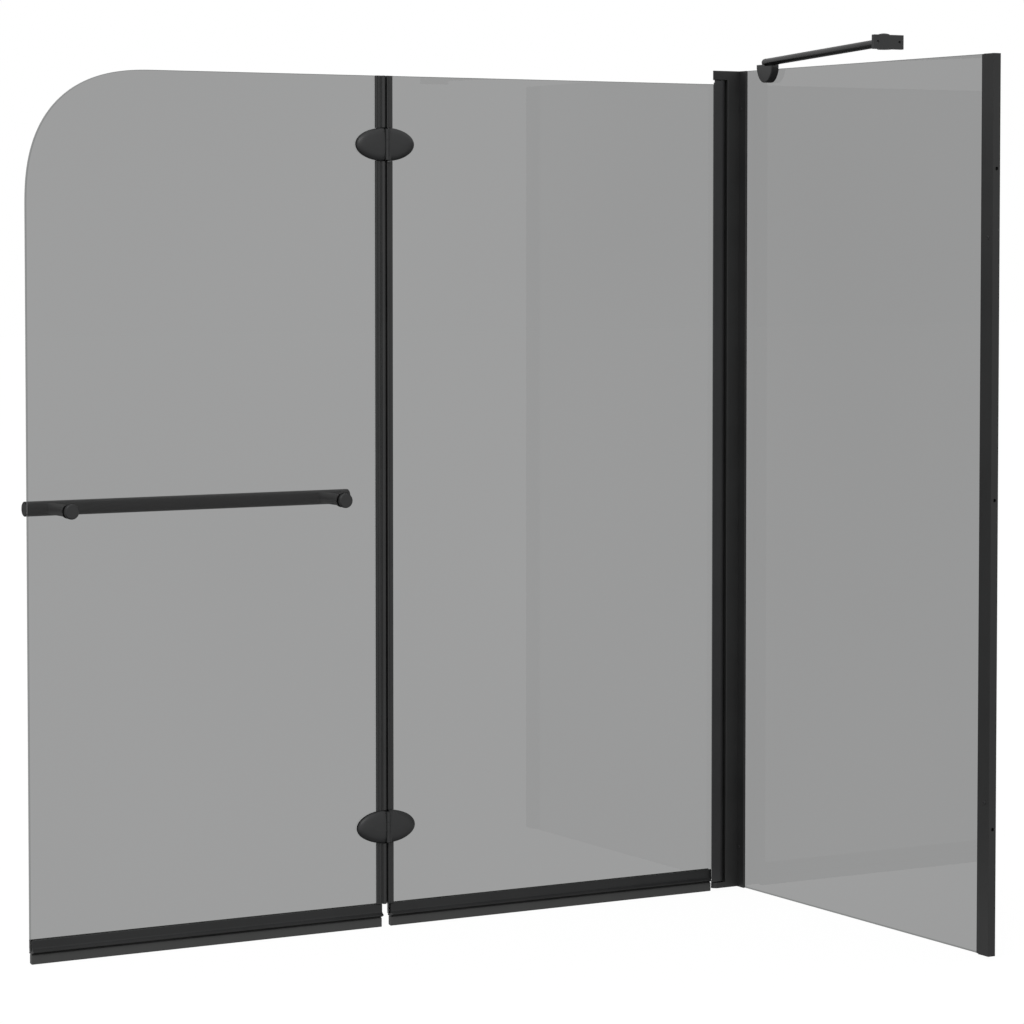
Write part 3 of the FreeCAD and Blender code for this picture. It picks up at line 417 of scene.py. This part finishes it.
outline = [(OUTER_X0, PANE_BOTTOM)] + corner() + [(OUTER_X1, PANE_TOP), (OUTER_X1, PANE_BOTTOM)]
o = pane("outer_pane", outline, hinge_holes(-1) + [(x, BAR_Z, 5.0) for x in BAR_POST_X], "xz",
         [M["pane"], M["pane_edge"]])
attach(o, "outer_door"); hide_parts("outer_glass")

outline = [(INNER_X0, PANE_BOTTOM), (INNER_X0, PANE_TOP), (INNER_X1, PANE_TOP), (INNER_X1, PANE_BOTTOM)]
o = pane("inner_pane", outline, hinge_holes(1), "xz", [M["pane"], M["pane_edge"]])
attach(o, "inner_door"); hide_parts("inner_glass")

outline = [(-657.0, 0.0), (-657.0, 1300.0), (-3.7, 1300.0), (-3.7, 0.0)]
o = pane("side_pane", outline, [(-91.5, 1288.5, 5.0)], "yz", [M["pane_side"], M["pane_edge"]])
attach(o, "fixed_frame"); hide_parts("side_glass")
# ------------------------------------------------------- lips, seals, gaskets
LIP = [(-2.4, 12.2), (2.4, 12.2), (2.4, 10.2), (3.6, 9.4), (3.6, -2.6), (2.4, -3.8), (0.4, -4.2),
       (-3.6, LIP_Z0), (-4.9, LIP_Z0 + 0.8), (-4.9, 8.4), (-4.2, 9.4), (-2.4, 10.2)]


def lip_sway(x):
    return (0.05 * math.sin(x / 47.0) + 0.04 * math.sin(x / 19.0 + 1.0), 0.0)


lip_section = rounded(LIP, 0.8, 4)
o = extrusion("outer_wiper_lip_soft", lip_section, "yz", [(OUTER_RAIL[0] + 0.3, OUTER_RAIL[1] - 0.4)], M["lip"],
              rings=48, sway=lip_sway)
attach(o, "outer_door"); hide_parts("outer_wiper_lip")
o = extrusion("inner_wiper_lip_soft", lip_section, "yz", [(INNER_RAIL[0] + 0.4, INNER_LIP_X1)], M["lip"],
              rings=48, sway=lip_sway)
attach(o, "inner_door"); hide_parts("inner_wiper_lip")



def oval_cutter(cz, y0, y1, a, b, count=128):
    """A closed oval block from y0 to y1, to cut the window of a hinge."""
    ring = [(FOLD_X + a * math.cos(2 * math.pi * k / count), cz + b * math.sin(2 * math.pi * k / count))
            for k in range(count)]
    verts = [(x, y0, z) for x, z in ring] + [(x, y1, z) for x, z in ring]
    faces = [tuple(range(count)), tuple(range(count, 2 * count))]
    faces += [(k, (k + 1) % count, count + (k + 1) % count, count + k) for k in range(count)]
    return build("window_cutter", verts, faces, [])


def fold_seal(name, section):
    """One length of seal with windows on both faces for the hinges; its core runs on between the panes."""
    o = extrusion(name, rounded(section, 0.5, 3), "xy", [(RAIL_TOP + 0.3, PANE_TOP)], M["seal"], end=0.12)
    c = SEAL_CLEAR
    cutters = []
    for cz in HINGE_Z:
        cutters.append(oval_cutter(cz, -20.0, -SEAL_CORE, HINGE_A + c, HINGE_B + c))
        cutters.append(oval_cutter(cz, SEAL_CORE, 20.0, BACK_A + c, BACK_B + c))
    for cut in cutters:
        mod = o.modifiers.new("window", "BOOLEAN")
        mod.operation, mod.solver, mod.object = "DIFFERENCE", "EXACT", cut
    bpy.context.view_layer.update()
    me = bpy.data.meshes.new_from_object(o.evaluated_get(bpy.context.evaluated_depsgraph_get()))
    o.modifiers.clear()
    o.data = me
    for cut in cutters:
        old = cut.data
        bpy.data.objects.remove(cut)
        bpy.data.meshes.remove(old)
    me.name = name
    me.materials.clear()
    me.materials.append(M["seal"])
    me.polygons.foreach_set("material_index", [0] * len(me.polygons))
    me.shade_smooth()
    me.set_sharp_from_angle(angle=math.radians(35.0))
    return o


OUTER_SEAL = [(-655.0, -3.0), (-655.0, -6.0), (-654.2, -7.0), (-652.6, -7.0), (-651.9, -6.3), (-650.6, -6.3),
              (-649.9, -7.4), (-648.2, -7.4), (-647.5, -6.6), (-646.2, -6.6), (-645.2, -9.2), (-643.4, -10.4),
              (-641.4, -10.4), (-640.5, -9.6), (-640.5, 4.0), (-635.0, 4.0), (-635.0, 4.8),
              (-641.3, 5.4), (-648.0, 5.4), (-648.6, 4.8), (-648.6, 3.0), (-645.0, 3.0), (-645.0, -3.0)]
INNER_SEAL = [(-626.4, -3.0), (-626.4, -6.2), (-627.2, -7.2), (-633.0, -7.2), (-635.0, -9.6), (-636.4, -9.6),
              (-637.1, -8.9), (-637.1, 2.2), (-636.4, 3.0), (-634.6, 3.0), (-633.4, 3.0), (-633.4, -3.0)]
o = fold_seal("outer_fold_seal_soft", OUTER_SEAL)
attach(o, "outer_door"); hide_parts("outer_fold_seal")
o = fold_seal("inner_fold_seal_soft", INNER_SEAL)
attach(o, "inner_door"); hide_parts("inner_fold_seal")


def u_section(outer_half, inner_half, mouths, bottom, inner_bottom):
    """A rubber channel round the glass edge, its two lips ending at their own mouths, drawn in towards the glass."""
    m0, m1 = mouths
    s = 1.0 if m0 > bottom else -1.0
    return [(-outer_half, bottom), (outer_half, bottom), (outer_half, m1 - 0.5 * s), (outer_half - 0.2, m1),
            (inner_half + 0.05, m1), (inner_half, m1 - 0.5 * s), (inner_half, inner_bottom),
            (-inner_half, inner_bottom), (-inner_half, m0 - 0.5 * s), (-inner_half - 0.05, m0),
            (-outer_half + 0.2, m0), (-outer_half, m0 - 0.5 * s)]


o = extrusion("post_gasket_soft", rounded(u_section(3.9, 3.0, (-29.9, -16.5), -3.0, -3.7), 0.25, 3), "xy",
              [(0.4, 1299.6)], M["gasket"], end=0.1)
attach(o, "fixed_frame"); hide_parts("post_glass_gasket")
o = extrusion("wall_gasket_soft", rounded(u_section(3.7, 3.0, (-633.5, -633.5), -659.7, -657.0), 0.25, 3), "xy",
              [(0.8, 1299.2)], M["gasket"], end=0.1)
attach(o, "fixed_frame"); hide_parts("wall_glass_gasket")
STRIP = [(-50.3, -3.9), (-45.4, -3.9), (-45.4, 2.3), (-46.0, 1.9), (-46.0, -3.0), (-49.7, -3.0)]
o = extrusion("pivot_gasket_soft", rounded(STRIP, 0.2, 3), "xy", [(RAIL_TOP + 0.4, PANE_TOP)], M["gasket"], end=0.1)
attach(o, "inner_door"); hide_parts("pivot_glass_gasket")

# ------------------------------------------------------------------ the stage
me = bpy.data.meshes.new("floor")
me.from_pydata([(-30, -30, -0.0048), (30, -30, -0.0048), (30, 30, -0.0048), (-30, 30, -0.0048)], [], [(0, 1, 2, 3)])
floor = bpy.data.objects.new("floor", me)
bpy.context.scene.collection.objects.link(floor)
m, nt, out = material("pale_floor")
em = node(nt, "ShaderNodeEmission", Strength=0.967)
df = node(nt, "ShaderNodeBsdfDiffuse")
df.inputs["Color"].default_value = (0.045, 0.045, 0.045, 1.0)
add = node(nt, "ShaderNodeAddShader")
nt.links.new(em.outputs[0], add.inputs[0])
nt.links.new(df.outputs[0], add.inputs[1])
nt.links.new(add.outputs[0], out.inputs["Surface"])
me.materials.append(m)
floor.visible_diffuse = False
floor.visible_glossy = False

world = bpy.data.worlds.new("studio")
bpy.context.scene.world = world
world.use_nodes = True
nt = world.node_tree
nt.nodes.clear()
wo = nt.nodes.new("ShaderNodeOutputWorld")
white = nt.nodes.new("ShaderNodeBackground")
white.inputs["Color"].default_value = (1, 1, 1, 1)
white.inputs["Strength"].default_value = 1.0
soft = nt.nodes.new("ShaderNodeBackground")
tc = nt.nodes.new("ShaderNodeTexCoord")
sep = nt.nodes.new("ShaderNodeSeparateXYZ")
nt.links.new(tc.outputs["Generated"], sep.inputs[0])
ramp = nt.nodes.new("ShaderNodeMapRange")
ramp.interpolation_type = "SMOOTHSTEP"
ramp.inputs["From Min"].default_value = -0.75
ramp.inputs["From Max"].default_value = -0.10
ramp.inputs["To Min"].default_value = 0.25
ramp.inputs["To Max"].default_value = 1.0
nt.links.new(sep.outputs["Z"], ramp.inputs["Value"])
nt.links.new(ramp.outputs["Result"], soft.inputs["Strength"])
lp = nt.nodes.new("ShaderNodeLightPath")
mx = nt.nodes.new("ShaderNodeMixShader")
nt.links.new(lp.outputs["Is Camera Ray"], mx.inputs[0])
nt.links.new(soft.outputs[0], mx.inputs[1])
nt.links.new(white.outputs[0], mx.inputs[2])
nt.links.new(mx.outputs[0], wo.inputs["Surface"])

# soft key from above, over the camera's left shoulder
key = bpy.data.lights.new("key", "AREA")
key.shape = "RECTANGLE"
key.size, key.size_y = 3.0, 1.6
key.energy = 60.0
ko = bpy.data.objects.new("key", key)
bpy.context.scene.collection.objects.link(ko)
ko.location = (-2.6, -2.6, 3.6)
ko.rotation_euler = (Vector((-0.5, -0.2, 0.8)) - Vector(ko.location)).to_track_quat("-Z", "Y").to_euler()

# --------------------------------------------------------------- the camera
cam = bpy.data.cameras.new("camera")
cam.sensor_width = 36.0
cam.lens = 125.859
cam.shift_y = -0.10
cam.clip_start, cam.clip_end = 0.1, 200.0
co = bpy.data.objects.new("camera", cam)
bpy.context.scene.collection.objects.link(co)
co.location = (-3.1684, -4.7522, 1.0365)
co.rotation_euler = (math.radians(90.0 - 2.7457), 0.0, math.radians(-30.0802))
bpy.context.scene.camera = co

sc = bpy.context.scene
sc.view_settings.view_transform = "Standard"
sc.view_settings.look = "None"
sc.cycles.use_denoising = True
sc.cycles.transparent_max_bounces = 24
sc.cycles.max_bounces = 8

bpy.context.view_layer.update()
